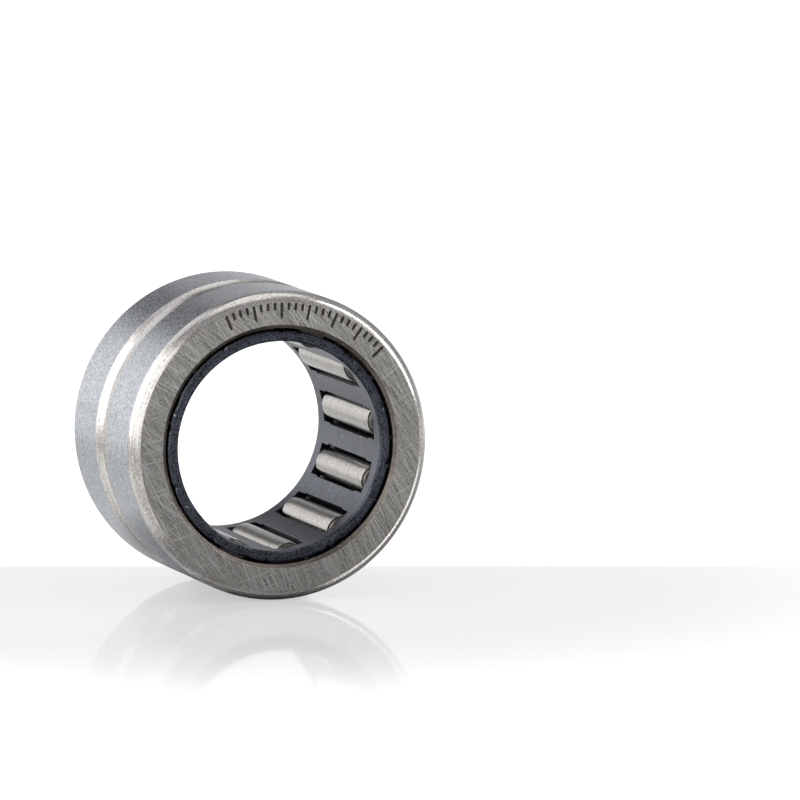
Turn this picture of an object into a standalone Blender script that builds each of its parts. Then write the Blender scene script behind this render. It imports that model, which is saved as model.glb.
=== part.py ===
"""Needle roller bearing without an inner ring, lying on its side.

A machined outer ring with two ribs holds twelve needle rollers in a windowed steel cage.
The bearing's axis runs along Y, the front face looks towards -Y, and the origin is the
bearing's centre. Each piece is modelled with its axis on its own Z, and the empties turn
that axis to Y. Turning cage_axis about its Z turns the cage with its needles.
"""

import math

import bmesh
import bpy
from mathutils import Matrix

MM = 0.001

# The bearing's boundary sizes.
OUTER_DIAMETER = 23.0 * MM
WIDTH = 16.0 * MM
SHAFT_DIAMETER = 15.0 * MM

# The rolling set. The needles' inner line is the shaft.
NEEDLE_COUNT = 12
NEEDLE_DIAMETER = 2.5 * MM
NEEDLE_LENGTH = 11.8 * MM
NEEDLE_CORNER = 0.25 * MM
FIRST_NEEDLE_ANGLE = math.radians(8.9)
RACEWAY_CLEARANCE = 0.02 * MM
RIB_CLEARANCE = 0.2 * MM

# The outer ring.
RIB_BORE_DIAMETER = 17.56 * MM
BORE_EDGE_CHAMFER = 0.28 * MM
OUTER_CHAMFER_RADIAL = 0.72 * MM
OUTER_CHAMFER_AXIAL = 0.95 * MM
OUTER_CHAMFER_BULGE = 0.14 * MM
GROOVE_WIDTH = 2.8 * MM
GROOVE_DEPTH = 0.45 * MM
OIL_HOLE_DIAMETER = 1.8 * MM
OIL_HOLE_ANGLE = math.radians(-6.1)
UNDERCUT_DEPTH = 0.12 * MM
UNDERCUT_WIDTH = 0.3 * MM

# The cage. A lip at the bore narrows each pocket's ends, which holds the needle in when
# there is no shaft.
CAGE_BORE_DIAMETER = 15.6 * MM
CAGE_OUTER_DIAMETER = 17.16 * MM
CAGE_LENGTH = 15.5 * MM
CAGE_BORE_CHAMFER = 0.12 * MM
CAGE_OUTER_CHAMFER = 0.2 * MM
POCKET_WIDTH = 2.6 * MM
POCKET_LENGTH = 12.4 * MM
LIP_GAP = 2.4 * MM
LIP_LENGTH = 1.5 * MM
LIP_THICKNESS = 0.18 * MM
CORNER_RELIEF_DIAMETER = 0.3 * MM

# How finely the round shapes are cut into flats.
RING_STEPS = 72
NEEDLE_STEPS = 24
HOLE_SEGMENTS = 20
RELIEF_SEGMENTS = 8
SHARP_EDGE = math.radians(25.0)
MERGE_DISTANCE = 0.0005 * MM

# Cuts that meet keep this step between their walls, so that no two cut faces coincide.
CUT_STEP = 0.04 * MM

# Where the pieces sit, worked out from the sizes above.
NEEDLE_RADIUS = NEEDLE_DIAMETER / 2
PITCH_RADIUS = SHAFT_DIAMETER / 2 + NEEDLE_RADIUS
RACEWAY_RADIUS = PITCH_RADIUS + NEEDLE_RADIUS + RACEWAY_CLEARANCE
NEEDLE_SPACE = NEEDLE_LENGTH + 2 * RIB_CLEARANCE
CAGE_WALL = (CAGE_OUTER_DIAMETER - CAGE_BORE_DIAMETER) / 2


def empty_the_scene():
    for old in list(bpy.data.objects):
        bpy.data.objects.remove(old, do_unlink=True)


def new_collection(name):
    collection = bpy.data.collections.new(name)
    bpy.context.scene.collection.children.link(collection)
    return collection


def new_object(name, mesh, collection):
    thing = bpy.data.objects.new(name, mesh)
    collection.objects.link(thing)
    return thing


def new_empty(name, collection, parent=None):
    empty = new_object(name, None, collection)
    empty.empty_display_size = OUTER_DIAMETER
    empty.parent = parent
    return empty


def metal(name, colour, roughness):
    """A plain metal with one colour."""
    material = bpy.data.materials.new(name)
    material.use_nodes = True
    shader = material.node_tree.nodes["Principled BSDF"]
    shader.inputs["Base Color"].default_value = (*colour, 1.0)
    shader.inputs["Metallic"].default_value = 1.0
    shader.inputs["Roughness"].default_value = roughness
    return material


def ground_bearing_steel():
    return metal("ground_bearing_steel", (0.52, 0.52, 0.51), 0.35)


def blackened_cage_steel():
    return metal("blackened_cage_steel", (0.10, 0.11, 0.13), 0.45)


def polished_needle_steel():
    return metal("polished_needle_steel", (0.72, 0.72, 0.71), 0.2)


def bulged(start, end, bulge, count):
    """Points on the arc from start to end that stands bulge to the left of the straight line.

    With a profile that runs down its outer side, left is outwards, so a negative bulge is
    a hollow.
    """
    half_chord = math.dist(start, end) / 2
    half_angle = 2 * math.atan2(bulge, half_chord)
    radius = half_chord / math.sin(half_angle)
    along = ((end[0] - start[0]) / half_chord / 2, (end[1] - start[1]) / half_chord / 2)
    left = (-along[1], along[0])
    middle = ((start[0] + end[0]) / 2, (start[1] + end[1]) / 2)
    points = []
    for step in range(count + 1):
        angle = half_angle * (2 * step / count - 1)
        forward = radius * math.sin(angle)
        outward = radius * math.cos(angle) - (radius - bulge)
        across = middle[0] + forward * along[0] + outward * left[0]
        up = middle[1] + forward * along[1] + outward * left[1]
        points.append((across, up))
    return points


def upside_down(points):
    """The same profile stretch at the other end, so that a profile can go on down."""
    return [(radius, -height) for radius, height in reversed(points)]


def outer_ring_section():
    """The ring's section: down the outside, then up the bore."""
    outside = OUTER_DIAMETER / 2
    end = WIDTH / 2
    rib_bore = RIB_BORE_DIAMETER / 2
    rib_side = NEEDLE_SPACE / 2
    undercut = RACEWAY_RADIUS + UNDERCUT_DEPTH
    undercut_end = rib_side - UNDERCUT_WIDTH
    face_edge = (outside - OUTER_CHAMFER_RADIAL, end)
    side_edge = (outside, end - OUTER_CHAMFER_AXIAL)
    chamfer = bulged(face_edge, side_edge, OUTER_CHAMFER_BULGE, 4)
    groove = bulged((outside, GROOVE_WIDTH / 2), (outside, -GROOVE_WIDTH / 2), -GROOVE_DEPTH, 6)
    bore_half = [
        (rib_bore + BORE_EDGE_CHAMFER, -end),
        (rib_bore, -end + BORE_EDGE_CHAMFER),
        (rib_bore, -rib_side),
        (undercut, -rib_side),
        (undercut, -undercut_end),
        (RACEWAY_RADIUS, -undercut_end + UNDERCUT_DEPTH),
    ]
    return chamfer + groove + upside_down(chamfer) + bore_half + upside_down(bore_half)


def cage_section():
    """The cage's section before the pockets are cut: a thin tube with broken edges."""
    outside = CAGE_OUTER_DIAMETER / 2
    bore = CAGE_BORE_DIAMETER / 2
    end = CAGE_LENGTH / 2
    top = [
        (bore, end - CAGE_BORE_CHAMFER),
        (bore + CAGE_BORE_CHAMFER, end),
        (outside - CAGE_OUTER_CHAMFER, end),
        (outside, end - CAGE_OUTER_CHAMFER),
    ]
    return top + upside_down(top)


def needle_section():
    """Half of a needle's section, from the middle of its top end to that of its bottom end."""
    end = NEEDLE_LENGTH / 2
    flat_edge = (NEEDLE_RADIUS - NEEDLE_CORNER, end)
    side_edge = (NEEDLE_RADIUS, end - NEEDLE_CORNER)
    quarter_bulge = NEEDLE_CORNER * (1 - math.sqrt(0.5))
    corner = bulged(flat_edge, side_edge, quarter_bulge, 2)
    return [(0.0, end)] + corner + upside_down(corner) + [(0.0, -end)]


def section_mesh(name, section, closed):
    """A mesh of edges only, through the section's points."""
    outline = bmesh.new()
    corners = [outline.verts.new((radius, 0.0, height)) for radius, height in section]
    for first, second in zip(corners, corners[1:]):
        outline.edges.new((first, second))
    if closed:
        outline.edges.new((corners[-1], corners[0]))
    mesh = bpy.data.meshes.new(name)
    outline.to_mesh(mesh)
    outline.free()
    return mesh


def turned(name, section, steps, closed, collection):
    """An object turned about Z from a section, with a Screw modifier."""
    piece = new_object(name, section_mesh(name, section, closed), collection)
    screw = piece.modifiers.new("turn", "SCREW")
    screw.axis = "Z"
    screw.steps = steps
    screw.render_steps = steps
    screw.use_merge_vertices = True
    screw.merge_threshold = MERGE_DISTANCE
    return piece


def cut(piece, cutter):
    boolean = piece.modifiers.new(cutter.name, "BOOLEAN")
    boolean.operation = "DIFFERENCE"
    boolean.solver = "EXACT"
    boolean.object = cutter


def settle(piece):
    """Makes what the modifiers give the piece's own mesh, smooth with its real edges sharp."""
    view = bpy.context.evaluated_depsgraph_get()
    mesh = bpy.data.meshes.new_from_object(piece.evaluated_get(view))
    piece.modifiers.clear()
    outline = piece.data
    piece.data = mesh
    mesh.name = outline.name
    bpy.data.meshes.remove(outline)
    mesh.shade_smooth()
    mesh.set_sharp_from_angle(angle=SHARP_EDGE)


def cutter_object(name, shapes, parent, collection):
    mesh = bpy.data.meshes.new(name)
    shapes.to_mesh(mesh)
    shapes.free()
    cutter = new_object(name, mesh, collection)
    cutter.parent = parent
    cutter.hide_render = True
    cutter.display_type = "WIRE"
    return cutter


def pocket_angles():
    step = 2 * math.pi / NEEDLE_COUNT
    return [FIRST_NEEDLE_ANGLE + number * step for number in range(NEEDLE_COUNT)]


def at_radius(angle, radius):
    """The place at this angle and radius, with its X pointing outwards."""
    return Matrix.Rotation(angle, 4, "Z") @ Matrix.Translation((radius, 0.0, 0.0))


def box_cutters(name, inner_radius, width, length, parent, collection):
    """One box for each pocket, from inner_radius to well outside the cage."""
    through = CAGE_OUTER_DIAMETER / 2 + CAGE_WALL - inner_radius
    size = Matrix.Diagonal((through, width, length, 1.0))
    shapes = bmesh.new()
    for angle in pocket_angles():
        middle = at_radius(angle, inner_radius + through / 2)
        bmesh.ops.create_cube(shapes, size=1.0, matrix=middle @ size)
    return cutter_object(name, shapes, parent, collection)


def corner_cutters(name, parent, collection):
    """A round relief in each corner of each pocket."""
    outwards = Matrix.Rotation(math.radians(90.0), 4, "Y")
    wall_middle = (CAGE_BORE_DIAMETER + CAGE_OUTER_DIAMETER) / 4
    shapes = bmesh.new()
    for angle in pocket_angles():
        for side in (-LIP_GAP / 2, LIP_GAP / 2):
            for end in (-POCKET_LENGTH / 2, POCKET_LENGTH / 2):
                corner = Matrix.Translation((0.0, side, end))
                bmesh.ops.create_cone(
                    shapes,
                    cap_ends=True,
                    segments=RELIEF_SEGMENTS,
                    radius1=CORNER_RELIEF_DIAMETER / 2,
                    radius2=CORNER_RELIEF_DIAMETER / 2,
                    depth=2 * CAGE_WALL,
                    matrix=at_radius(angle, wall_middle) @ corner @ outwards,
                )
    return cutter_object(name, shapes, parent, collection)


def oil_hole_cutter(name, parent, collection):
    """A round bar through the ring's wall, at the bottom of the groove."""
    wall = OUTER_DIAMETER / 2 - RACEWAY_RADIUS
    turn = Matrix.Rotation(OIL_HOLE_ANGLE, 4, "Z")
    out = Matrix.Translation((RACEWAY_RADIUS + wall / 2, 0.0, 0.0))
    shapes = bmesh.new()
    bmesh.ops.create_cone(
        shapes,
        cap_ends=True,
        segments=HOLE_SEGMENTS,
        radius1=OIL_HOLE_DIAMETER / 2,
        radius2=OIL_HOLE_DIAMETER / 2,
        depth=2 * wall,
        matrix=turn @ out @ Matrix.Rotation(math.radians(90.0), 4, "Y"),
    )
    return cutter_object(name, shapes, parent, collection)


def make_outer_ring(axis, parts, cutters):
    ring = turned("outer_ring", outer_ring_section(), RING_STEPS, True, parts)
    ring.parent = axis
    cut(ring, oil_hole_cutter("oil_hole_cutter", axis, cutters))
    settle(ring)
    ring.data.materials.append(ground_bearing_steel())


def make_cage(axis, parts, cutters):
    cage = turned("cage", cage_section(), RING_STEPS, True, parts)
    cage.parent = axis
    inside = CAGE_BORE_DIAMETER / 2 - CAGE_WALL
    above_lip = CAGE_BORE_DIAMETER / 2 + LIP_THICKNESS
    between_lips = POCKET_LENGTH - 2 * LIP_LENGTH
    window_width = POCKET_WIDTH - CUT_STEP
    bore_length = POCKET_LENGTH + CUT_STEP
    cut(cage, box_cutters("pocket_cutter", above_lip, POCKET_WIDTH, POCKET_LENGTH, axis, cutters))
    cut(cage, box_cutters("window_cutter", inside, window_width, between_lips, axis, cutters))
    cut(cage, box_cutters("lip_cutter", inside, LIP_GAP, bore_length, axis, cutters))
    cut(cage, corner_cutters("corner_cutter", axis, cutters))
    settle(cage)
    cage.data.materials.append(blackened_cage_steel())


def make_needles(axis, parts):
    """The needles, each turning about its own Z on the pitch circle."""
    pattern = turned("needle", needle_section(), NEEDLE_STEPS, False, parts)
    settle(pattern)
    mesh = pattern.data
    mesh.materials.append(polished_needle_steel())
    bpy.data.objects.remove(pattern, do_unlink=True)
    for number, angle in enumerate(pocket_angles(), start=1):
        needle = new_object(f"needle_{number:02d}", mesh, parts)
        needle.parent = axis
        needle.location = (PITCH_RADIUS * math.cos(angle), PITCH_RADIUS * math.sin(angle), 0.0)


def main():
    empty_the_scene()
    parts = new_collection("needle_roller_bearing")
    cutters = new_collection("cutters")
    bearing_axis = new_empty("bearing_axis", parts)
    bearing_axis.rotation_euler = (math.radians(90.0), 0.0, 0.0)
    cage_axis = new_empty("cage_axis", parts, bearing_axis)
    bpy.context.view_layer.update()
    make_outer_ring(bearing_axis, parts, cutters)
    make_cage(cage_axis, parts, cutters)
    make_needles(cage_axis, parts)


main()
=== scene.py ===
"""A machined needle roller bearing on a polished pale table, in soft studio light.

The ring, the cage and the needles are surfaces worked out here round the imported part's boxes.
The bearing's axis is Y, its front face looks towards -Y and its centre is the origin.
"""

import bmesh
import bpy
import numpy as np
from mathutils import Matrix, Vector


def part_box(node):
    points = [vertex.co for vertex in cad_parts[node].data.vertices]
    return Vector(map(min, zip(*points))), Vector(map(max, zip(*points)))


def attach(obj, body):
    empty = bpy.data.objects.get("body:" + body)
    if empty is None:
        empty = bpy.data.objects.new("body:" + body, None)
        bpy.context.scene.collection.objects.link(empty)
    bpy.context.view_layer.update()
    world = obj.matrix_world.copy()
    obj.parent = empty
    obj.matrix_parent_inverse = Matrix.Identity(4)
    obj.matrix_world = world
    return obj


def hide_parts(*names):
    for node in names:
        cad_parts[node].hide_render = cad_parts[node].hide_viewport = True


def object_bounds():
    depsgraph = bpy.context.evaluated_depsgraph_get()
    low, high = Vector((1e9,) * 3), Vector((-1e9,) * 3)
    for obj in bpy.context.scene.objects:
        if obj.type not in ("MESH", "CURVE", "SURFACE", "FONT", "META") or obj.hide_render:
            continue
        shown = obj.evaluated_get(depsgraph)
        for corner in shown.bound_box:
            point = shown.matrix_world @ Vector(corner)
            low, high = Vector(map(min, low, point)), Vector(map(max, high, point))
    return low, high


MM = 0.001

# Two faces that meet at a wider angle than this have a sharp edge between them.
SHARP_ANGLE = np.radians(35.0)

# Points closer than this are one point.
SAME_POINT = 0.0001 * MM

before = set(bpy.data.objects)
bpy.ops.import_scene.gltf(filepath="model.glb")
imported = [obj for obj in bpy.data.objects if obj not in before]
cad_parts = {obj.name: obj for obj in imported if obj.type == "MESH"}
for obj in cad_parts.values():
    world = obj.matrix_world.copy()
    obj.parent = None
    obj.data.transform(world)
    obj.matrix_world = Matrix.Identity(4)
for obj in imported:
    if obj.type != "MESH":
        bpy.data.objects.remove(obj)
cad_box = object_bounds()


# ---------------------------------------------------------------- sizes

def box_of(node):
    """A CAD node's lowest and highest corners as two arrays."""
    low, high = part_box(node)
    return np.array(low), np.array(high)


OUTSIDE, FACE, _ = box_of("outer_ring")[1]
CAGE_END = box_of("cage")[1][1]
CAGE_OUTSIDE = 8.58 * MM
NEEDLES = sorted(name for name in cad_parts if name.startswith("needle_"))

# The ring's own sizes, as its solid has them.
RIB_BORE = 8.78 * MM
BORE_CHAMFER = 0.28 * MM
CHAMFER_RADIAL = 0.72 * MM
CHAMFER_AXIAL = 0.95 * MM
CHAMFER_BULGE = 0.14 * MM
GROOVE_HALF = 1.40 * MM
GROOVE_DEPTH = 0.45 * MM
RACEWAY = 10.02 * MM
UNDERCUT = 0.12 * MM
UNDERCUT_WIDTH = 0.30 * MM
RIB_SIDE = 6.10 * MM
OIL_HOLE_RADIUS = 0.90 * MM
OIL_HOLE_ANGLE = np.radians(-6.1)
CUTTER_INNER = 9.0 * MM
CUTTER_OUTER = 12.0 * MM

# The cage's.
CAGE_BORE = 7.80 * MM
LIP_TOP = 7.98 * MM
POCKET_HALF_WIDTH = 1.30 * MM
LIP_HALF_GAP = 1.20 * MM
POCKET_END = 6.20 * MM
LIP_START = 4.70 * MM
WINDOW_LINES = (0.0, 1.2 * MM, 2.4 * MM, 3.6 * MM)
LIP_LINE = 5.45 * MM
CAGE_RIM_LINE = 6.9 * MM
POCKET_LINE = 0.4 * MM
CAGE_EDGE = 0.03 * MM
CAGE_BORE_CHAMFER = 0.12 * MM
CAGE_OUTER_CHAMFER = 0.20 * MM

# Handling leaves small nicks in the front ring's outer edge.
NICKS = 16
NICK_SHRINK = np.array((0.987, 0.988, 0.987))

# A needle's.
NEEDLE_CORNER = 0.36 * MM
NEEDLE_RELIEF = 0.06 * MM
NEEDLE_RELIEF_LENGTH = 1.8 * MM
# The needles' darker end colour, which is partly painted shade, reaches this many steps into the
# corner.
TUMBLED_AND_SHADED_CORNER_STEPS = 4

# The engraved marks stand on the front face, on this circle and between these angles.
MARK_MIDDLE = 10.12 * MM
MARK_HALF_HEIGHT = 0.47 * MM
MARK_HALF_STROKE = 0.11 * MM
MARK_DEPTH = 0.05 * MM
MARK_FIRST = 113.0
MARK_LAST = 42.0
MARK_COUNT = 25
MARK_SHORT = 0.12 * MM
MARK_SLOPE = 0.03 * MM
MARK_LONG_EVERY = 4


# ---------------------------------------------------------------- surfaces

def mesh_from(name, points, faces):
    """A mesh from an array of points and an array of quads, smooth up to the sharp angle.

    Six times the volume inside is the sum, over the triangles, of the first corner's dot
    product with the cross product of the other two. If it comes out negative, the faces look
    inwards and are turned round.
    """
    halves = np.concatenate((faces[:, [0, 1, 2]], faces[:, [0, 2, 3]]))
    first, second, third = (points[halves[:, corner]] for corner in range(3))
    if np.einsum("ij,ij->", first, np.cross(second, third)) < 0:
        faces = faces[:, ::-1]
    mesh = bpy.data.meshes.new(name)
    mesh.vertices.add(len(points))
    mesh.vertices.foreach_set("co", points.ravel())
    mesh.loops.add(faces.size)
    mesh.loops.foreach_set("vertex_index", faces.ravel())
    mesh.polygons.add(len(faces))
    mesh.polygons.foreach_set("loop_start", np.arange(0, faces.size, 4))
    mesh.update(calc_edges=True)
    mesh.validate()
    mesh.shade_smooth()
    mesh.set_sharp_from_angle(angle=SHARP_ANGLE)
    return mesh


def new_piece(name, mesh, body, node):
    """An object for the mesh that rides on its body and stands for its CAD node."""
    piece = bpy.data.objects.new(name, mesh)
    bpy.context.scene.collection.objects.link(piece)
    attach(piece, body)
    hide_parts(node)
    return piece


def bulged(start, end, bulge, count):
    """The arc from start to end whose middle stands bulge to the left of the chord.

    With h half the chord, the arc's half angle is 2 atan(bulge / h) and its radius is
    h / sin(half angle).
    """
    start, end = np.array(start), np.array(end)
    chord = end - start
    half = np.linalg.norm(chord) / 2
    along = chord / (2 * half)
    left = np.array((-along[1], along[0]))
    half_angle = 2 * np.arctan2(bulge, half)
    radius = half / np.sin(half_angle)
    turn = np.linspace(-half_angle, half_angle, count + 1)[:, None]
    outward = radius * np.cos(turn) - (radius - bulge)
    return (start + end) / 2 + radius * np.sin(turn) * along + outward * left


def rounded_profile(corners, arc_steps=3, hold=0.02 * MM):
    """A closed section through the corners, each a (radius, y, fillet, longest step, finish).

    A fillet of radius f between two straight stretches that turn by an angle t starts
    f tan(t / 2) from the corner, and its points turn evenly about its centre. Each straight
    stretch is split into steps no longer than its own longest, with one short step at each
    end, so that the shading of a fillet stays in the fillet. Returns the points and the
    finish of the stretch after each point.
    """
    places = np.array([corner[:2] for corner in corners])
    arcs = []
    for number, corner in enumerate(corners):
        here = places[number]
        back = places[number - 1] - here
        ahead = places[(number + 1) % len(corners)] - here
        back, ahead = back / np.linalg.norm(back), ahead / np.linalg.norm(ahead)
        turn = np.pi - np.arccos(np.clip(back @ ahead, -1, 1))
        reach = corner[2] * np.tan(turn / 2)
        if reach == 0:
            arcs.append(here[None, :])
            continue
        inward = (back + ahead) / np.linalg.norm(back + ahead)
        centre = here + inward * corner[2] / np.cos(turn / 2)
        spokes = np.linspace(0, 1, arc_steps + 1)[:, None]
        first, last = here + back * reach - centre, here + ahead * reach - centre
        blend = (np.sin((1 - spokes) * turn) * first + np.sin(spokes * turn) * last) / np.sin(turn)
        arcs.append(centre + blend)
    points, finishes = [], []
    for number, arc in enumerate(arcs):
        longest, finish = corners[number][3:]
        target = arcs[(number + 1) % len(arcs)][0]
        gap = np.linalg.norm(target - arc[-1])
        held = corners[number][2] > 0 and gap > 4 * hold
        inner = np.linspace(hold / gap if held else 0, 1 - hold / gap if held else 1,
                            max(int(np.ceil(gap / longest)), 1) + 1)
        steps = (inner if held else inner[1:-1])[:, None]
        stretch = np.concatenate((arc, arc[-1] + steps * (target - arc[-1])))
        points.append(stretch)
        finishes += [finish] * len(stretch)
    return np.concatenate(points), np.array(finishes)


def around(profile, angles, centre=(0.0, 0.0)):
    """The profile's points turned to each angle about Y: (r cos a + x, y, r sin a + z)."""
    radius, height = profile[:, 0][:, None], profile[:, 1][:, None]
    across = radius * np.cos(angles)[None, :] + centre[0]
    along = np.repeat(height, len(angles), axis=1)
    up = radius * np.sin(angles)[None, :] + centre[1]
    return np.stack((across, along, up), axis=-1)


def wrapped_quads(rows, columns, closed_rows):
    """Quads of a rows by columns grid whose columns join up, and its rows too if asked."""
    last = rows if closed_rows else rows - 1
    row, column = np.meshgrid(np.arange(last), np.arange(columns), indexing="ij")
    below, beside = (row + 1) % rows, (column + 1) % columns
    corners = (row * columns + column, below * columns + column,
               below * columns + beside, row * columns + beside)
    return np.stack(corners, axis=-1).reshape(-1, 4)


# ---------------------------------------------------------------- materials

# A noise keeps mostly within these: its tones are taken from the middle of its range.
TONE_MIDDLE = 0.5
TONE_HALF_RANGE = 0.08
ROUGHNESS_RANGE = (0.35, 0.65)

def linear(hex_colour):
    """An sRGB hex colour as linear red, green, blue and a full alpha."""
    value = np.array([int(hex_colour[at:at + 2], 16) for at in (0, 2, 4)]) / 255
    steep = ((value + 0.055) / 1.055) ** 2.4
    return (*np.where(value <= 0.04045, value / 12.92, steep), 1.0)


def grey(level):
    """A linear grey with a full alpha."""
    return (level, level, level, 1.0)


def add(tree, kind, links=None, values=None, stops=None, **settings):
    """Adds a node with its settings, the sockets' values and links, and a ramp's stops."""
    made = tree.nodes.new(kind)
    for name, setting in settings.items():
        setattr(made, name, setting)
    for socket, value in (values or {}).items():
        made.inputs[socket].default_value = value
    for socket, source in (links or {}).items():
        tree.links.new(source, made.inputs[socket])
    if stops:
        elements = made.color_ramp.elements
        while len(elements) < len(stops):
            elements.new(0.5)
        for element, (place, colour) in zip(elements, stops):
            element.position = place
            element.color = colour
    return made


def new_material(name):
    """An empty material, its node tree and its Principled shader."""
    material = bpy.data.materials.new(name)
    material.use_nodes = True
    return material, material.node_tree, material.node_tree.nodes["Principled BSDF"]


def steel(name, dark, light, roughness, grain_mm, streak_mm, share, bump_mm, contrast=1.0):
    """Bare or blackened steel: a fine mottle mixed with tool marks that run round the axis.

    grain_mm is the mottle's size. streak_mm gives the marks' spacing and their length: their
    noise is quick along Y and along the radius and slow round the axis. share is how much of
    the pattern the marks make up, bump_mm is its height and contrast is how far the two
    colours stand apart.
    """
    material, tree, shader = new_material(name)
    place = add(tree, "ShaderNodeTexCoord").outputs["Object"]
    split = add(tree, "ShaderNodeSeparateXYZ", {"Vector": place}).outputs
    flat = add(tree, "ShaderNodeCombineXYZ", {"X": split["X"], "Z": split["Z"]})
    radius = add(tree, "ShaderNodeVectorMath", {0: flat.outputs[0]}, operation="LENGTH")
    spacing, length = streak_mm
    quick = 1 / (spacing * MM)
    slow = 1 / (length * MM)
    depth = add(tree, "ShaderNodeMath", {0: split["Y"], 1: radius.outputs["Value"]},
                operation="ADD")
    deep = add(tree, "ShaderNodeMath", {0: depth.outputs[0]}, {1: quick}, operation="MULTIPLY")
    turned = add(tree, "ShaderNodeVectorMath", {0: place}, {1: (slow, 0.0, slow)},
                 operation="MULTIPLY")
    lifted = add(tree, "ShaderNodeCombineXYZ", {"Y": deep.outputs[0]})
    marks_at = add(tree, "ShaderNodeVectorMath", {0: turned.outputs[0], 1: lifted.outputs[0]},
                   operation="ADD")
    marks = add(tree, "ShaderNodeTexNoise", {"Vector": marks_at.outputs[0]},
                {"Scale": 1.0, "Detail": 3.0, "Roughness": 0.6})
    grain = add(tree, "ShaderNodeTexNoise", {"Vector": place},
                {"Scale": 1 / (grain_mm * MM), "Detail": 4.0, "Roughness": 0.65})
    both = add(tree, "ShaderNodeMix", {"A": grain.outputs["Fac"], "B": marks.outputs["Fac"]},
               {"Factor": share})
    tone = add(tree, "ShaderNodeMapRange", {"Value": both.outputs[0]},
               {"From Min": TONE_MIDDLE - TONE_HALF_RANGE / contrast,
                "From Max": TONE_MIDDLE + TONE_HALF_RANGE / contrast})
    colour = add(tree, "ShaderNodeMix", {"Factor": tone.outputs[0]},
                 {"A": linear(dark), "B": linear(light)}, data_type="RGBA")
    rough = add(tree, "ShaderNodeMapRange", {"Value": both.outputs[0]},
                {"From Min": ROUGHNESS_RANGE[0], "From Max": ROUGHNESS_RANGE[1],
                 "To Min": roughness[0], "To Max": roughness[1]})
    bump = add(tree, "ShaderNodeBump", {"Height": both.outputs[0]},
               {"Strength": 1.0, "Distance": bump_mm * MM})
    tree.links.new(colour.outputs["Result"], shader.inputs["Base Color"])
    tree.links.new(rough.outputs[0], shader.inputs["Roughness"])
    tree.links.new(bump.outputs[0], shader.inputs["Normal"])
    shader.inputs["Metallic"].default_value = 1.0
    return material


def ground_outside():
    """The outside: hardened bearing steel, centreless ground, then tumbled.

    Grinding leaves marks a few hundredths of a millimetre apart, drawn here at a quarter of a
    millimetre to show, and tumbling breaks them into a fine satin mottle.
    """
    return steel("centreless_ground_bearing_steel", "a0a4aa", "d2d4d6", roughness=(0.18, 0.28),
                 grain_mm=0.20, streak_mm=(0.25, 1.2), share=0.12, bump_mm=0.0019, contrast=1.5)


def turned_edge():
    """The chamfers and the groove: turned before hardening and not ground since.

    The tool's feed marks stay, about a tenth of a millimetre apart, drawn here a little
    coarser to show, and the heat of hardening leaves the steel a little brown.
    """
    return steel("turned_and_hardened_steel", "a8a39e", "d8d5d1", roughness=(0.20, 0.28),
                 grain_mm=0.16, streak_mm=(0.16, 3.0), share=0.45, bump_mm=0.0018)


def bore_edge():
    """The chamfers at the bore's mouths: turned, and left with the brown film of hardening.

    The film is duller and darker than the metal. The feed marks are as on the outer chamfers.
    """
    return steel("brown_hardened_steel", "5f5953", "8a837b", roughness=(0.40, 0.50),
                 grain_mm=0.16, streak_mm=(0.16, 3.0), share=0.45, bump_mm=0.0015)


def honed_bore():
    """The ribs' bores and the raceway: honed after hardening, with a finer grain.

    Honing marks are a few hundredths of a millimetre apart, drawn here at a tenth to show.
    """
    return steel("honed_raceway_steel", "8f8d8a", "aeaca9", roughness=(0.24, 0.32),
                 grain_mm=0.12, streak_mm=(0.10, 4.0), share=0.5, bump_mm=0.0008)


def ground_needle():
    """The needles: centreless ground and polished, so nearly bright with very fine marks.

    The marks are about a hundredth of a millimetre apart, drawn here coarser to show.
    """
    return steel("ground_needle_steel", "9c958d", "d2cec8", roughness=(0.12, 0.20),
                 grain_mm=0.10, streak_mm=(0.06, 1.6), share=0.4, bump_mm=0.0004)


def tumbled_end_and_painted_shade():
    """The needles' ends: cut and tumbled, so duller than their ground sides; their darker colour is
    partly that finish and partly painted shade.
    """
    return steel("tumbled_needle_end_steel_with_painted_shade", "5e5a56", "837e79", roughness=(0.30, 0.42),
                 grain_mm=0.10, streak_mm=(0.06, 1.6), share=0.2, bump_mm=0.0008)


def blackened_cage():
    """The cage: pressed sheet steel with a black oxide finish.

    The oxide is a thin grey-blue film over the metal, so it shines weakly. Here and there it
    is worn through to small bright specks, some tenths of a millimetre across.
    """
    material = steel("blackened_sheet_steel", "2b2e34", "666a74", roughness=(0.24, 0.38),
                     grain_mm=0.12, streak_mm=(0.10, 2.5), share=0.35, bump_mm=0.0015)
    tree = material.node_tree
    shader = tree.nodes["Principled BSDF"]
    oxide = shader.inputs["Base Color"].links[0].from_socket
    place = add(tree, "ShaderNodeTexCoord").outputs["Object"]
    specks = add(tree, "ShaderNodeTexNoise", {"Vector": place},
                 {"Scale": 1 / (0.40 * MM), "Detail": 2.0, "Roughness": 0.5})
    worn = add(tree, "ShaderNodeMapRange", {"Value": specks.outputs["Fac"]},
               {"From Min": 0.70, "From Max": 0.74})
    shown = add(tree, "ShaderNodeMix", {"Factor": worn.outputs[0], "A": oxide},
                {"B": linear("a4a8ad")}, data_type="RGBA")
    tree.links.new(shown.outputs["Result"], shader.inputs["Base Color"])
    return material


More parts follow.
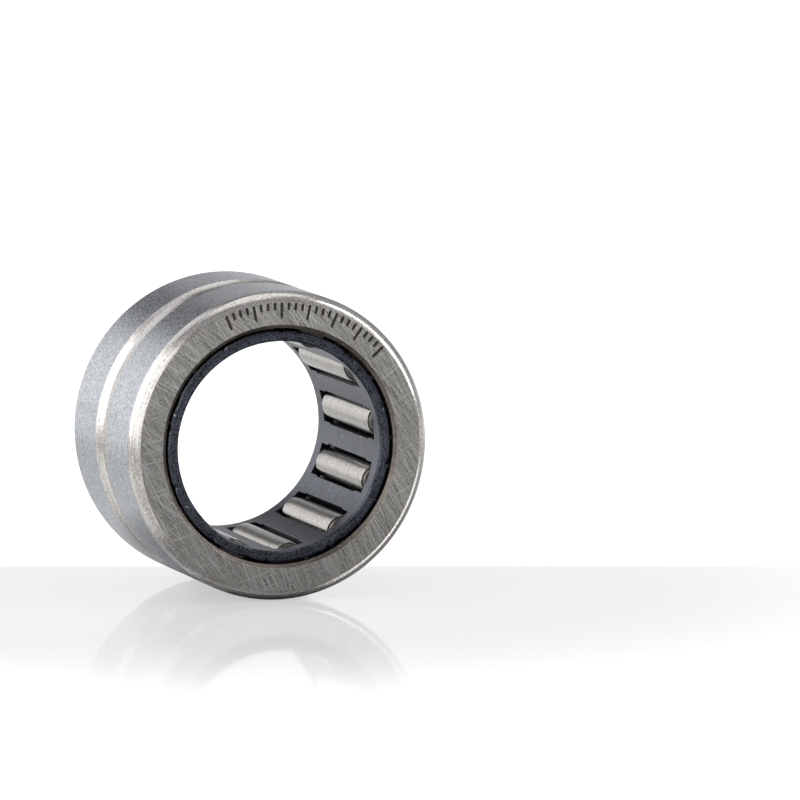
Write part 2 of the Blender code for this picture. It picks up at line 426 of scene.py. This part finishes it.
def ground_face():
    """The end faces: ground flat between two wheels.

    The wheels leave long shallow arcs that cross. They are some hundredths of a millimetre
    apart, drawn here at a tenth or a little more to show. Each family of arcs has a wheel's
    middle (x, z), the arcs' spacing and their length, all in millimetres. The mark attribute
    says where the engraving is, which is darker and dull.
    """
    wheels = ((-31.8, -31.8, 0.10, 6.0), (-53.0, -27.0, 0.12, 8.0),
              (40.0, 21.0, 0.15, 5.0), (-20.0, 45.0, 0.12, 4.0))
    material, tree, shader = new_material("face_ground_bearing_steel")
    place = add(tree, "ShaderNodeTexCoord").outputs["Object"]
    families = []
    for wheel_x, wheel_z, spacing, length in wheels:
        away = add(tree, "ShaderNodeVectorMath", {0: place},
                   {1: (wheel_x * MM, 0.0, wheel_z * MM)}, operation="SUBTRACT")
        reach = add(tree, "ShaderNodeVectorMath", {0: away.outputs[0]}, operation="LENGTH")
        split = add(tree, "ShaderNodeSeparateXYZ", {"Vector": away.outputs[0]}).outputs
        bearing = add(tree, "ShaderNodeMath", {0: split["Z"], 1: split["X"]}, operation="ARCTAN2")
        wheel_radius = np.hypot(wheel_x, wheel_z)
        across = add(tree, "ShaderNodeMath", {0: reach.outputs["Value"]},
                     {1: 1 / (spacing * MM)}, operation="MULTIPLY")
        along = add(tree, "ShaderNodeMath", {0: bearing.outputs[0]},
                    {1: wheel_radius / length}, operation="MULTIPLY")
        at = add(tree, "ShaderNodeCombineXYZ", {"X": across.outputs[0], "Y": along.outputs[0]})
        families.append(add(tree, "ShaderNodeTexNoise", {"Vector": at.outputs[0]},
                            {"Scale": 1.0, "Detail": 3.0, "Roughness": 0.6}).outputs["Fac"])
    arcs = families[0]
    for family in families[1:]:
        arcs = add(tree, "ShaderNodeMath", {0: arcs, 1: family}, operation="MAXIMUM").outputs[0]
    scratch = add(tree, "ShaderNodeMapRange", {"Value": arcs},
                  {"From Min": 0.57, "From Max": 0.74})
    weave = add(tree, "ShaderNodeMix", {"A": families[0], "B": families[1]}, {"Factor": 0.5})
    grain = add(tree, "ShaderNodeTexNoise", {"Vector": place},
                {"Scale": 1 / (0.16 * MM), "Detail": 3.0, "Roughness": 0.7})
    tone = add(tree, "ShaderNodeMix", {"A": weave.outputs[0], "B": grain.outputs["Fac"]},
               {"Factor": 0.4})
    shade = add(tree, "ShaderNodeMapRange", {"Value": tone.outputs[0]},
                {"From Min": 0.38, "From Max": 0.62})
    ground = add(tree, "ShaderNodeMix", {"Factor": shade.outputs[0]},
                 {"A": linear("73706b"), "B": linear("d0cdc8")}, data_type="RGBA")
    lined = add(tree, "ShaderNodeMix", {"Factor": scratch.outputs[0], "A": ground.outputs["Result"]},
                {"B": linear("e2e0dc")}, data_type="RGBA")
    mark = add(tree, "ShaderNodeAttribute", attribute_name="mark").outputs["Fac"]
    colour = add(tree, "ShaderNodeMix", {"Factor": mark, "A": lined.outputs["Result"]},
                 {"B": linear("4a4540")}, data_type="RGBA")
    smooth = add(tree, "ShaderNodeMapRange", {"Value": scratch.outputs[0]},
                 {"To Min": 0.42, "To Max": 0.30})
    rough = add(tree, "ShaderNodeMath", {0: mark, 2: smooth.outputs[0]}, {1: 0.25},
                operation="MULTIPLY_ADD")
    bump = add(tree, "ShaderNodeBump", {"Height": scratch.outputs[0]},
               {"Strength": 1.0, "Distance": 0.004 * MM})
    tree.links.new(colour.outputs["Result"], shader.inputs["Base Color"])
    tree.links.new(rough.outputs[0], shader.inputs["Roughness"])
    tree.links.new(bump.outputs[0], shader.inputs["Normal"])
    shader.inputs["Metallic"].default_value = 1.0
    return material


def polished_table():
    """The table: white acrylic, polished near the bearing and plain white further out.

    It mirrors up to about half of what stands on it, less and less away from the bearing, and
    nothing past a straight line just behind it. To the eye it glows as white as the room. The
    metal gets a weaker light from it, which grows with the distance from the bearing, drops
    a little in front and is somewhat stronger straight behind. All lengths are in metres.
    """
    polish_ends = (0.0106, 0.0138)
    polish_fades = (0.030, 0.078)
    light_grows = (0.010, 0.12)
    front = (-0.06, 0.0)
    straight_behind = (0.0, 0.015)
    material, tree, shader = new_material("polished_white_acrylic")
    place = add(tree, "ShaderNodeTexCoord").outputs["Object"]
    away = add(tree, "ShaderNodeVectorMath", {0: place}, operation="LENGTH")
    split = add(tree, "ShaderNodeSeparateXYZ", {"Vector": place}).outputs
    back = add(tree, "ShaderNodeVectorMath", {0: place}, {1: (0.306, 0.952, 0.0)},
               operation="DOT_PRODUCT")
    nearer = add(tree, "ShaderNodeMapRange", {"Value": back.outputs["Value"]},
                 {"From Min": polish_ends[0], "From Max": polish_ends[1],
                  "To Min": 1.0, "To Max": 0.0},
                 interpolation_type="SMOOTHSTEP")
    close = add(tree, "ShaderNodeMapRange", {"Value": away.outputs["Value"]},
                {"From Min": polish_fades[0], "From Max": polish_fades[1],
                 "To Min": 0.48, "To Max": 0.0},
                interpolation_type="SMOOTHSTEP")
    gloss = add(tree, "ShaderNodeMath", {0: close.outputs[0], 1: nearer.outputs[0]},
                operation="MULTIPLY")
    far = add(tree, "ShaderNodeMapRange", {"Value": away.outputs["Value"]},
              {"From Min": light_grows[0], "From Max": light_grows[1],
               "To Min": 0.0, "To Max": 0.70})
    rear = add(tree, "ShaderNodeMapRange", {"Value": split["Y"]},
               {"From Min": front[0], "From Max": front[1],
                "To Min": 0.75, "To Max": 1.0})
    spread = add(tree, "ShaderNodeMath", {0: far.outputs[0], 1: rear.outputs[0]},
                 operation="MULTIPLY")
    close_behind = add(tree, "ShaderNodeMapRange", {"Value": split["Y"]},
                       {"From Min": straight_behind[0], "From Max": straight_behind[1],
                        "To Min": 0.0, "To Max": 0.42})
    room = add(tree, "ShaderNodeMath", {0: spread.outputs[0], 1: close_behind.outputs[0]},
               operation="MAXIMUM")
    eye = add(tree, "ShaderNodeLightPath").outputs["Is Camera Ray"]
    glow = add(tree, "ShaderNodeMix", {"Factor": eye, "A": room.outputs[0]}, {"B": 1.0})
    tree.links.new(glow.outputs[0], shader.inputs["Emission Strength"])
    shader.inputs["Emission Color"].default_value = linear("ffffff")
    shader.inputs["Base Color"].default_value = linear("8e9091")
    shader.inputs["Specular IOR Level"].default_value = 0.0
    shader.inputs["Roughness"].default_value = 0.6
    mirror = add(tree, "ShaderNodeBsdfGlossy", values={"Roughness": 0.06})
    top = add(tree, "ShaderNodeMixShader",
              {0: gloss.outputs[0], 1: shader.outputs[0], 2: mirror.outputs[0]})
    tree.links.new(top.outputs[0], tree.nodes["Material Output"].inputs["Surface"])
    return material


# ---------------------------------------------------------------- the outer ring

def ring_profile():
    """The ring's section, from the front face outwards, along the outside and back by the bore.

    The finishes are 0 the end faces, 1 turned, 2 the ground outside, 3 honed and 4 the
    chamfers at the bore's mouths.
    """
    edge = OUTSIDE - CHAMFER_RADIAL
    side = FACE - CHAMFER_AXIAL
    front_chamfer = bulged((edge, -FACE), (OUTSIDE, -side), -CHAMFER_BULGE, 6)
    groove = bulged((OUTSIDE, -GROOVE_HALF), (OUTSIDE, GROOVE_HALF), GROOVE_DEPTH, 10)
    back_chamfer = front_chamfer[::-1] * (1, -1)
    coarse, fine = 1.2 * MM, 0.042 * MM
    corners = [(RIB_BORE + BORE_CHAMFER, -FACE, 0.03 * MM, fine, 0)]
    corners += [(*front_chamfer[0], 0.06 * MM, coarse, 1)]
    corners += [(*point, 0.0, coarse, 1) for point in front_chamfer[1:-1]]
    corners += [(*front_chamfer[-1], 0.05 * MM, coarse, 2)]
    corners += [(*groove[0], 0.05 * MM, coarse, 1)]
    corners += [(*point, 0.0, coarse, 1) for point in groove[1:-1]]
    corners += [(*groove[-1], 0.05 * MM, coarse, 2)]
    corners += [(*back_chamfer[0], 0.05 * MM, coarse, 1)]
    corners += [(*point, 0.0, coarse, 1) for point in back_chamfer[1:-1]]
    corners += [(*back_chamfer[-1], 0.06 * MM, coarse, 0)]
    bore = [
        (RIB_BORE + BORE_CHAMFER, FACE, 0.03 * MM, coarse, 4),
        (RIB_BORE, FACE - BORE_CHAMFER, 0.04 * MM, coarse, 3),
        (RIB_BORE, RIB_SIDE, 0.05 * MM, coarse, 3),
        (RACEWAY + UNDERCUT, RIB_SIDE, 0.03 * MM, coarse, 3),
        (RACEWAY + UNDERCUT, RIB_SIDE - UNDERCUT_WIDTH, 0.02 * MM, coarse, 3),
        (RACEWAY, RIB_SIDE - UNDERCUT_WIDTH - UNDERCUT, 0.05 * MM, coarse, 3),
    ]
    corners += bore
    # The bore's front half mirrors its back half. Its mouth is the section's first corner.
    finish_after = (3, 3, 3, 3, 4)
    corners += [(radius, -height, fillet, coarse, finish)
                for (radius, height, fillet, _, _), finish in zip(bore[:0:-1], finish_after)]
    return rounded_profile(corners)


def stroke_distance(radius, angle):
    """How far each point of the face is from the nearest engraved stroke's middle line.

    The marks are a plain scale: a long stroke at every fourth place and short ones between.
    Each stroke is a segment in the flat plane (along the circle, out from its middle), and a
    point's distance is to the nearest place on the segment.
    """
    places = np.linspace(MARK_FIRST, MARK_LAST, MARK_COUNT)
    strokes = [(place, MARK_SHORT if number % MARK_LONG_EVERY else -MARK_HALF_HEIGHT)
               for number, place in enumerate(places)]
    nearest = np.full(np.broadcast(radius, angle).shape, np.inf)
    for centre, low in strokes:
        along = (angle - np.radians(centre)) * MARK_MIDDLE
        out = radius - MARK_MIDDLE
        beyond = out - np.clip(out, low, MARK_HALF_HEIGHT)
        nearest = np.minimum(nearest, np.hypot(along, beyond))
    return nearest


def ring_angles():
    """The columns' angles: every 0.3 degrees where the face is engraved, about 2 elsewhere."""
    fine = np.arange(MARK_LAST - 4.0, MARK_FIRST + 4.0, 0.3)
    coarse = np.linspace(fine[-1], fine[0] + 360.0, 144)[1:-1]
    return np.radians(np.concatenate((fine, coarse)))


def oil_hole_cutter():
    """A closed round bar along the hole's own radius, through the groove's bottom."""
    around_hole = np.linspace(0, 2 * np.pi, 48, endpoint=False)
    out = np.array((CUTTER_INNER, CUTTER_INNER, CUTTER_OUTER, CUTTER_OUTER))
    wide = np.array((0.0, 1.0, 1.0, 0.0)) * OIL_HOLE_RADIUS
    side = wide[:, None] * np.cos(around_hole)
    along = wide[:, None] * np.sin(around_hole)
    outward = np.repeat(out[:, None], len(around_hole), axis=1)
    across = outward * np.cos(OIL_HOLE_ANGLE) - side * np.sin(OIL_HOLE_ANGLE)
    up = outward * np.sin(OIL_HOLE_ANGLE) + side * np.cos(OIL_HOLE_ANGLE)
    points = np.stack((across, along, up), axis=-1).reshape(-1, 3)
    mesh = mesh_from("oil_hole_cutter", points, wrapped_quads(4, len(around_hole), False))
    cutter = bpy.data.objects.new("oil_hole_cutter", welded(mesh))
    bpy.context.scene.collection.objects.link(cutter)
    return cutter


def welded(mesh):
    """The mesh with doubled points merged, so that a pole is one point."""
    shape = bmesh.new()
    shape.from_mesh(mesh)
    bmesh.ops.remove_doubles(shape, verts=shape.verts, dist=SAME_POINT)
    shape.to_mesh(mesh)
    shape.free()
    return mesh


def make_ring():
    """The outer ring: its section carried round the axis, engraved, with the oil hole cut.

    A stroke's wall eases in and out: with c from 0 outside to 1 inside, its depth is
    c squared times (3 - 2 c) of the whole.
    """
    profile, finishes = ring_profile()
    angles = ring_angles()
    points = around(profile, angles)
    radius = profile[:, 0][:, None]
    on_face = (profile[:, 1] < -FACE + 0.001 * MM)[:, None]
    distance = stroke_distance(radius, angles[None, :])
    cut = 1 - np.clip((distance - MARK_HALF_STROKE + MARK_SLOPE) / (2 * MARK_SLOPE), 0, 1)
    cut = cut * cut * (3 - 2 * cut) * on_face
    points[..., 1] += MARK_DEPTH * cut
    faces = wrapped_quads(len(profile), len(angles), True)
    mesh = mesh_from("outer_ring_turned", points.reshape(-1, 3), faces)
    mesh.attributes.new("mark", "FLOAT", "POINT").data.foreach_set("value", cut.ravel())
    for material in (ground_face(), turned_edge(), ground_outside(), honed_bore(), bore_edge()):
        mesh.materials.append(material)
    mesh.polygons.foreach_set("material_index", np.repeat(finishes, len(angles)))
    ring = bpy.data.objects.new("outer_ring_solid", mesh)
    bpy.context.scene.collection.objects.link(ring)
    cutter = oil_hole_cutter()
    hole = ring.modifiers.new("oil_hole", "BOOLEAN")
    hole.operation = "DIFFERENCE"
    hole.solver = "EXACT"
    hole.object = cutter
    view = bpy.context.evaluated_depsgraph_get()
    drilled = bpy.data.meshes.new_from_object(ring.evaluated_get(view))
    drilled.name = "outer_ring_turned"
    for leftover in (ring, cutter):
        bpy.data.objects.remove(leftover, do_unlink=True)
    new_piece("ring_turned_and_ground", welded(drilled), "outer_ring", "outer_ring")


# ---------------------------------------------------------------- the cage

def cage_lines():
    """The cage grid's lines: radii, heights along Y, and lines across one pocket and its bar.

    A line across a pocket keeps its distance from the pocket's middle plane, so the pocket's
    walls are parallel. A line in the bar is a share of the way from one pocket to the next.
    """
    radii = np.array((CAGE_BORE, LIP_TOP, CAGE_OUTSIDE))
    half = np.array((*WINDOW_LINES, LIP_START, LIP_LINE, POCKET_END, CAGE_RIM_LINE,
                     CAGE_END - CAGE_BORE_CHAMFER, CAGE_END))
    heights = np.concatenate((-half[:0:-1], half))
    pocket = np.array((-POCKET_HALF_WIDTH, -LIP_HALF_GAP, -POCKET_LINE, POCKET_LINE,
                       LIP_HALF_GAP, POCKET_HALF_WIDTH))
    bar = np.linspace(0, 1, 8)[1:-1]
    return radii, heights, pocket, bar


def make_cage():
    """The cage, as the skin of the filled cells of a grid of radii, heights and angles.

    A cell is empty where a pocket is. At the bore a pocket is narrower near its ends, which
    leaves the lips that hold the needle. The skin is every cell wall with a filled cell on
    one side and an empty one on the other.
    """
    radii, heights, pocket, bar = cage_lines()
    middles = np.sort(needle_angles())
    pitch = 2 * np.pi / len(middles)
    wall = np.arcsin(POCKET_HALF_WIDTH / radii)[:, None]
    across = np.arcsin(pocket[None, :] / radii[:, None])
    bars = wall + bar[None, :] * (pitch - 2 * wall)
    one = np.concatenate((across, bars), axis=1)
    angles = (middles[None, :, None] + one[:, None, :]).reshape(len(radii), -1)

    radius = np.repeat(radii[:, None], len(heights), axis=1)
    ends = np.abs(heights) > CAGE_END - 0.001 * MM
    radius[0, ends] += CAGE_BORE_CHAMFER
    radius[2, ends] -= CAGE_OUTER_CHAMFER
    points = np.empty((*radius.shape, angles.shape[1], 3))
    points[..., 0] = radius[..., None] * np.cos(angles)[:, None, :]
    points[..., 1] = heights[None, :, None]
    points[..., 2] = radius[..., None] * np.sin(angles)[:, None, :]
    nick = np.random.default_rng(15).choice(angles.shape[1], NICKS, replace=False)
    points[2, 0, nick] *= NICK_SHRINK
    points[2, 1, nick] *= NICK_SHRINK

    level = np.abs(heights[1:] + heights[:-1]) / 2
    in_pocket = level < POCKET_END
    in_window = level < LIP_START
    kinds = np.tile(np.concatenate(((1,), np.full(len(pocket) - 3, 2), (1,),
                                    np.zeros(len(bar) + 1, int))), len(middles))
    filled = np.ones((2, len(level), len(kinds)), bool)
    filled[:, in_pocket] &= (kinds != 2)
    filled[1, in_pocket] &= (kinds != 1)
    filled[0, in_window] &= (kinds != 1)
    number = np.arange(points[..., 0].size).reshape(points.shape[:3])
    beside = np.roll(number, -1, axis=2)
    padded = np.pad(filled, ((1, 1), (1, 1), (0, 0)))

    skins = []
    lower, upper = padded[:-1, 1:-1], padded[1:, 1:-1]
    for wanted, order in ((lower & ~upper, 1), (upper & ~lower, -1)):
        quad = np.stack((number[:, :-1], number[:, 1:], beside[:, 1:], beside[:, :-1]), -1)
        skins.append(quad[wanted][:, ::order])
    nearer, further = padded[1:-1, :-1], padded[1:-1, 1:]
    for wanted, order in ((nearer & ~further, -1), (further & ~nearer, 1)):
        quad = np.stack((number[:-1], number[1:], beside[1:], beside[:-1]), -1)
        skins.append(quad[wanted][:, ::order])
    left, right = np.roll(filled, 1, axis=2), filled
    for wanted, order in ((left & ~right, 1), (right & ~left, -1)):
        quad = np.stack((number[:-1, :-1], number[1:, :-1], number[1:, 1:], number[:-1, 1:]), -1)
        skins.append(quad[wanted][:, ::order])
    faces = np.concatenate(skins)
    used, faces = np.unique(faces, return_inverse=True)
    mesh = mesh_from("cage_pressed", points.reshape(-1, 3)[used], faces.reshape(-1, 4))
    mesh.materials.append(blackened_cage())
    cage = new_piece("cage_blackened", mesh, "cage", "cage")
    rounding = cage.modifiers.new("broken_edges", "BEVEL")
    rounding.width = CAGE_EDGE
    rounding.segments = 2
    rounding.limit_method = "ANGLE"
    rounding.angle_limit = np.radians(40.0)


# ---------------------------------------------------------------- the needles

def needle_middle(node):
    """Where a needle's own axis stands, as (x, z)."""
    low, high = box_of(node)
    return (low[0] + high[0]) / 2, (low[2] + high[2]) / 2


def needle_angles():
    """The angle about Y at which each needle stands, from its middle's (z, x)."""
    return np.array([np.arctan2(*needle_middle(node)[::-1]) for node in NEEDLES])


def make_needles():
    """Each needle: half its section carried round its own axis, with rounded ends.

    Towards an end the radius falls by the relief times the square of how far the point is
    into the relieved length.
    """
    finishes = ground_needle(), tumbled_end_and_painted_shade()
    for node in NEEDLES:
        low, high = box_of(node)
        radius, end = (high[0] - low[0]) / 2, high[1]
        low_radius = radius - NEEDLE_RELIEF
        turn = np.linspace(0, np.pi / 2, 7)
        corner = np.stack((low_radius - NEEDLE_CORNER * (1 - np.sin(turn)),
                           -end + NEEDLE_CORNER * (1 - np.cos(turn))), -1)
        face = np.stack((np.array((0.0, 0.5, 0.9)) * corner[0, 0], np.full(3, -end)), -1)
        height = np.linspace(-end + NEEDLE_CORNER + 0.02 * MM, 0, 24)
        short = np.clip(1 - (height + end) / NEEDLE_RELIEF_LENGTH, 0, 1)
        side = np.stack((radius - NEEDLE_RELIEF * short ** 2, height), -1)
        front = np.concatenate((face, corner, side))
        profile = np.concatenate((front, front[-2::-1] * (1, -1)))
        angles = np.linspace(0, 2 * np.pi, 64, endpoint=False)
        points = around(profile, angles, needle_middle(node)).reshape(-1, 3)
        faces = wrapped_quads(len(profile), len(angles), False)
        mesh = mesh_from(node + "_ground", points, faces)
        for finish in finishes:
            mesh.materials.append(finish)
        # The end faces and the first corner steps take the darker end colour, which is partly
        # painted shade on the needles' ends.
        at_end = np.zeros(len(profile) - 1, int)
        tumbled = len(face) + TUMBLED_AND_SHADED_CORNER_STEPS
        at_end[:tumbled] = 1
        at_end[-tumbled:] = 1
        mesh.polygons.foreach_set("material_index", np.repeat(at_end, len(angles)))
        welded(mesh)
        new_piece(node + "_roller", mesh, node, node)


# ---------------------------------------------------------------- the studio

# In metres: the table, the camera and its aim.
TABLE_SIDE = 6.0
CAMERA_PLACE = Vector((-215.54, -706.44, 90.89)) * MM
CAMERA_AIM = Vector((11.816, 0.0, 2.134)) * MM
LENS_LENGTH_MM = 449.4
SENSOR_WIDTH_MM = 36.0

def make_table():
    """The table's top, level with the ring's lowest line."""
    half = TABLE_SIDE / 2
    level = cad_box[0][2]
    points = np.array(((-half, -half, level), (half, -half, level),
                       (half, half, level), (-half, half, level)))
    mesh = bpy.data.meshes.new("table_top")
    mesh.from_pydata(points, [], [(0, 1, 2, 3)])
    mesh.materials.append(polished_table())
    table = bpy.data.objects.new("table_top", mesh)
    bpy.context.scene.collection.objects.link(table)


def softbox(name, place, size, strength):
    """A rectangular light at place that looks at the bearing; strength is its brightness."""
    light = bpy.data.lights.new(name, "AREA")
    light.shape = "RECTANGLE"
    light.size, light.size_y = size
    light.energy = strength * np.pi * size[0] * size[1]
    lamp = bpy.data.objects.new(name, light)
    bpy.context.scene.collection.objects.link(lamp)
    lamp.location = place
    lamp.rotation_euler = (-Vector(place)).to_track_quat("-Z", "Y").to_euler()
    lamp.visible_camera = False


def make_room():
    """The room's light, which goes by direction only; to the eye the room is plain white.

    Behind the bearing it's bright on the left, dim in the middle and a little lighter on the
    right, with a lighter band along the horizon. In front it's an even half light.
    """
    front_level = 0.40
    wall_brightness = 1.15
    band_level, band_top = 0.66, (0.14, 0.19)
    world = bpy.data.worlds.new("studio_room")
    bpy.context.scene.world = world
    world.use_nodes = True
    tree = world.node_tree
    tree.nodes.clear()
    way = add(tree, "ShaderNodeTexCoord").outputs["Generated"]
    split = add(tree, "ShaderNodeSeparateXYZ", {"Vector": way}).outputs
    behind = add(tree, "ShaderNodeMapRange", {"Value": split["Y"]},
                 {"From Min": -0.1, "From Max": 0.6}, interpolation_type="SMOOTHSTEP")
    shifted = add(tree, "ShaderNodeMath", {0: split["X"]}, {1: 0.5}, operation="ADD")
    wall = add(tree, "ShaderNodeValToRGB", {"Fac": shifted.outputs[0]},
               stops=[(0.20, grey(1.0)), (0.34, grey(0.72)), (0.41, grey(0.17)),
                      (0.56, grey(0.17)), (0.66, grey(0.36))])
    bright = add(tree, "ShaderNodeMath", {0: wall.outputs["Color"]}, {1: wall_brightness},
                 operation="MULTIPLY")
    low = add(tree, "ShaderNodeMapRange", {"Value": split["Z"]},
              {"From Min": band_top[0], "From Max": band_top[1],
               "To Min": band_level, "To Max": 0.0},
              interpolation_type="SMOOTHSTEP")
    backdrop = add(tree, "ShaderNodeMath", {0: bright.outputs[0], 1: low.outputs[0]},
                   operation="MAXIMUM")
    level = add(tree, "ShaderNodeMix", {"Factor": behind.outputs[0], "B": backdrop.outputs[0]},
                {"A": front_level})
    lit = add(tree, "ShaderNodeBackground", {"Strength": level.outputs[0]})
    seen = add(tree, "ShaderNodeBackground", values={"Color": linear("ffffff"), "Strength": 1.0})
    lit.inputs["Color"].default_value = linear("fbfcff")
    eye = add(tree, "ShaderNodeLightPath").outputs["Is Camera Ray"]
    mixed = add(tree, "ShaderNodeMixShader", {0: eye, 1: lit.outputs[0], 2: seen.outputs[0]})
    add(tree, "ShaderNodeOutputWorld", {"Surface": mixed.outputs[0]})


def make_camera():
    """A long lens on a small sensor, a little above the table and to the left."""
    lens = bpy.data.cameras.new("camera")
    lens.lens = LENS_LENGTH_MM
    lens.sensor_width = SENSOR_WIDTH_MM
    lens.clip_start = 0.01
    camera = bpy.data.objects.new("camera", lens)
    bpy.context.scene.collection.objects.link(camera)
    camera.location = CAMERA_PLACE
    camera.rotation_euler = (CAMERA_AIM - CAMERA_PLACE).to_track_quat("-Z", "Y").to_euler()
    bpy.context.scene.camera = camera


def main():
    """The studio first, then the bearing's pieces."""
    bpy.context.scene.view_settings.view_transform = "Standard"
    make_camera()
    make_room()
    make_table()
    softbox("softbox_left", place=(-0.50, -0.05, 0.17), size=(1.20, 0.60), strength=1.5)
    softbox("softbox_right", place=(0.42, -0.10, 0.26), size=(0.09, 0.44), strength=6.5)
    softbox("softbox_top", place=(0.05, 0.05, 0.55), size=(0.40, 0.40), strength=1.0)
    make_ring()
    make_cage()
    make_needles()


main()
